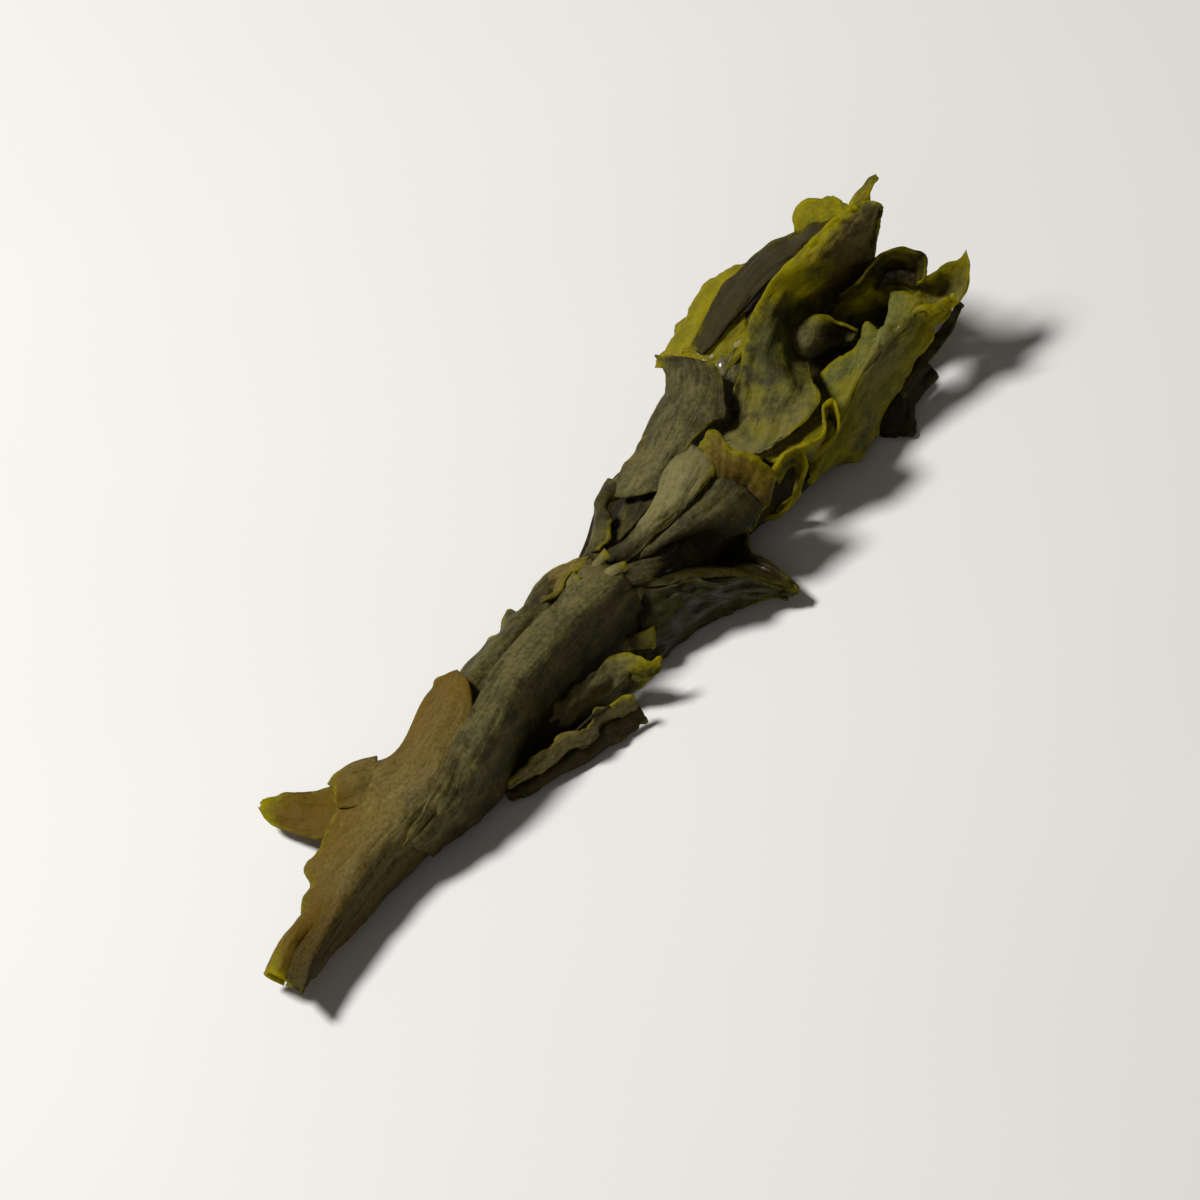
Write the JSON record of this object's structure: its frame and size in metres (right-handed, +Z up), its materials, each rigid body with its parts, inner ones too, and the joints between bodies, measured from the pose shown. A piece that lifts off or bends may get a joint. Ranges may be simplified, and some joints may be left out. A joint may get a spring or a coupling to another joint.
{
  "type": "dried wakame frond",
  "caption": "Dried seaweed frond: a thin olive blade rolled lengthwise, folded at the neck and torn into flaps at its wide end.",
  "frame": {"origin": "centre of the bounding box in plan, at the surface it rests on", "axes": "+X along the roll towards the torn wide end, +Z up, +Y towards the side with the small tab"},
  "size_m": [0.1942, 0.0572, 0.0418],
  "materials": {
    "wakame_blade": "dark grey-olive dried blade, matte with a faint sheen, paler yellow-green where it is thin"
  },
  "bodies": {
    "root": {"wakame_frond": "wakame_blade"}
  },
  "joints": []
}
